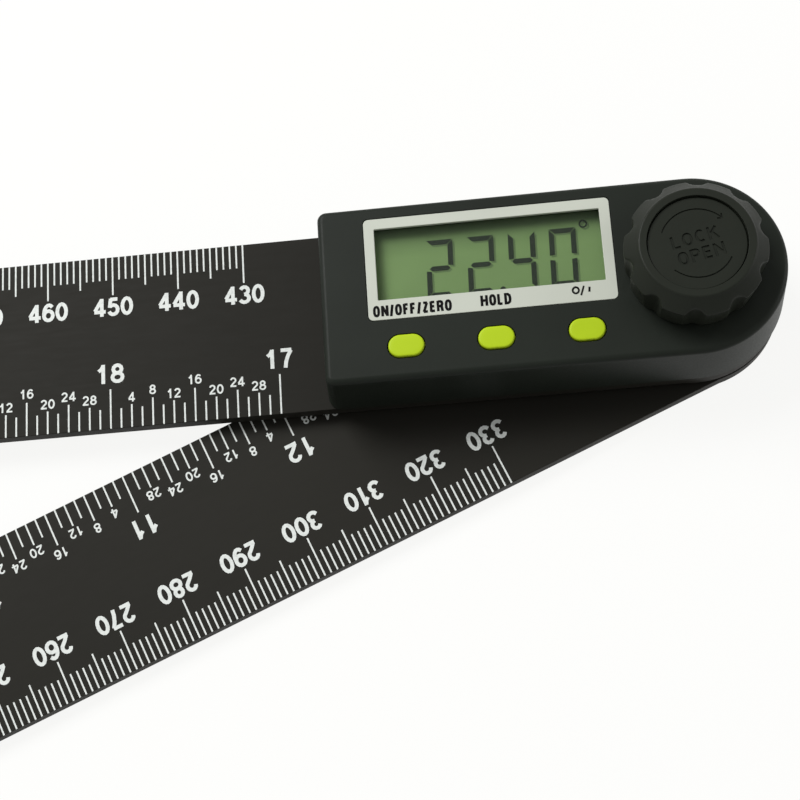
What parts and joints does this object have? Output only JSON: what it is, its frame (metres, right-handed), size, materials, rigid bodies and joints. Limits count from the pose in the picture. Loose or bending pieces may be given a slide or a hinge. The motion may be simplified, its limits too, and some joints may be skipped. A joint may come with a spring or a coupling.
{
  "type": "digital angle finder",
  "caption": "Digital angle finder: flat rule arms that turn on a clamp bolt under a case with a display, push buttons, a coin cell door and a lobed locking knob.",
  "frame": {"origin": "on the pivot axis, in the plane of the lower arm's underside, at the middle of the flush bolt head's face", "axes": "+Z along the pivot axis, out through the knob; the upper arm lies along -X; +Y runs across the arms, away from the side the lower arm opens to"},
  "size_m": [0.3799, 0.1655, 0.0221],
  "materials": {
    "arm_black": "satin black plastic rule stock with white printed scales",
    "case_black": "fine moulded texture, satin",
    "knob_black": "fine moulded texture, satin",
    "lid_black": "satin moulded plastic",
    "tray_black": "plain moulded plastic",
    "bezel_grey": "pale grey satin plastic with black printed legends",
    "lens_clear": "clear gloss",
    "lcd_green": "green-grey reflective display",
    "frame_white": "moulded plastic",
    "strip_rubber": "soft",
    "board_green": "solder mask",
    "chip_black": "moulded package",
    "switch_metal": "tinned sheet",
    "screw_zinc": "zinc plated",
    "cell_steel": "nickel plated",
    "contact_gold": "sprung strip",
    "bush_brass": "turned",
    "washer_white": "slippery sheet",
    "bolt_steel": "turned, zinc plated",
    "ring_steel": "oiled spring steel",
    "carrier_grey": "moulded plastic",
    "button_lime": "satin lime green"
  },
  "bodies": {
    "head": {"upper_arm": "arm_black", "pivot_bush": "bush_brass", "friction_washer": "washer_white", "housing_base": "tray_black", "housing_cover": "case_black", "display_bezel": "bezel_grey", "display_window": "lens_clear", "lcd_panel": "lcd_green", "lcd_frame": "frame_white", "contact_strips": "strip_rubber", "circuit_board": "board_green", "board_chips": "chip_black", "button_switches": "switch_metal", "board_screws": "screw_zinc", "housing_screws": "screw_zinc", "coin_cell": "cell_steel", "contact_positive": "contact_gold", "contact_negative": "contact_gold", "knob_washer": "washer_white"},
    "lower_arm": {"lower_arm": "arm_black", "clamp_bolt": "bolt_steel", "retaining_ring": "ring_steel", "rotor_carrier": "carrier_grey", "encoder_rotor": "board_green"},
    "lock_knob": {"lock_knob": "knob_black", "knob_insert": "bush_brass", "knob_cap": "knob_black"},
    "battery_cover": {"battery_cover": "lid_black"},
    "power_button": {"power_button": "button_lime"},
    "hold_button": {"hold_button": "button_lime"},
    "unit_button": {"unit_button": "button_lime"}
  },
  "joints": [
    {"name": "arm_pivot", "type": "hinge", "parent": "head", "child": "lower_arm", "pos_m": [0, 0, 0], "axis": [0, 0, 1], "continuous": true},
    {"name": "knob_turn", "type": "hinge", "parent": "lower_arm", "child": "lock_knob", "pos_m": [0, 0, 0.0186], "axis": [0, 0, 1], "range_deg": [0, 150]},
    {"name": "battery_cover_turn", "type": "hinge", "parent": "head", "child": "battery_cover", "pos_m": [-0.0295, 0, 0.0034], "axis": [0, 0, 1], "range_deg": [0, 30]},
    {"name": "power_button_press", "type": "slide", "parent": "head", "child": "power_button", "axis": [0, 0, -1], "range_m": [0, 0.0005], "stiffness_N_per_m": 1200},
    {"name": "hold_button_press", "type": "slide", "parent": "head", "child": "hold_button", "axis": [0, 0, -1], "range_m": [0, 0.0005], "stiffness_N_per_m": 1200},
    {"name": "unit_button_press", "type": "slide", "parent": "head", "child": "unit_button", "axis": [0, 0, -1], "range_m": [0, 0.0005], "stiffness_N_per_m": 1200}
  ]
}
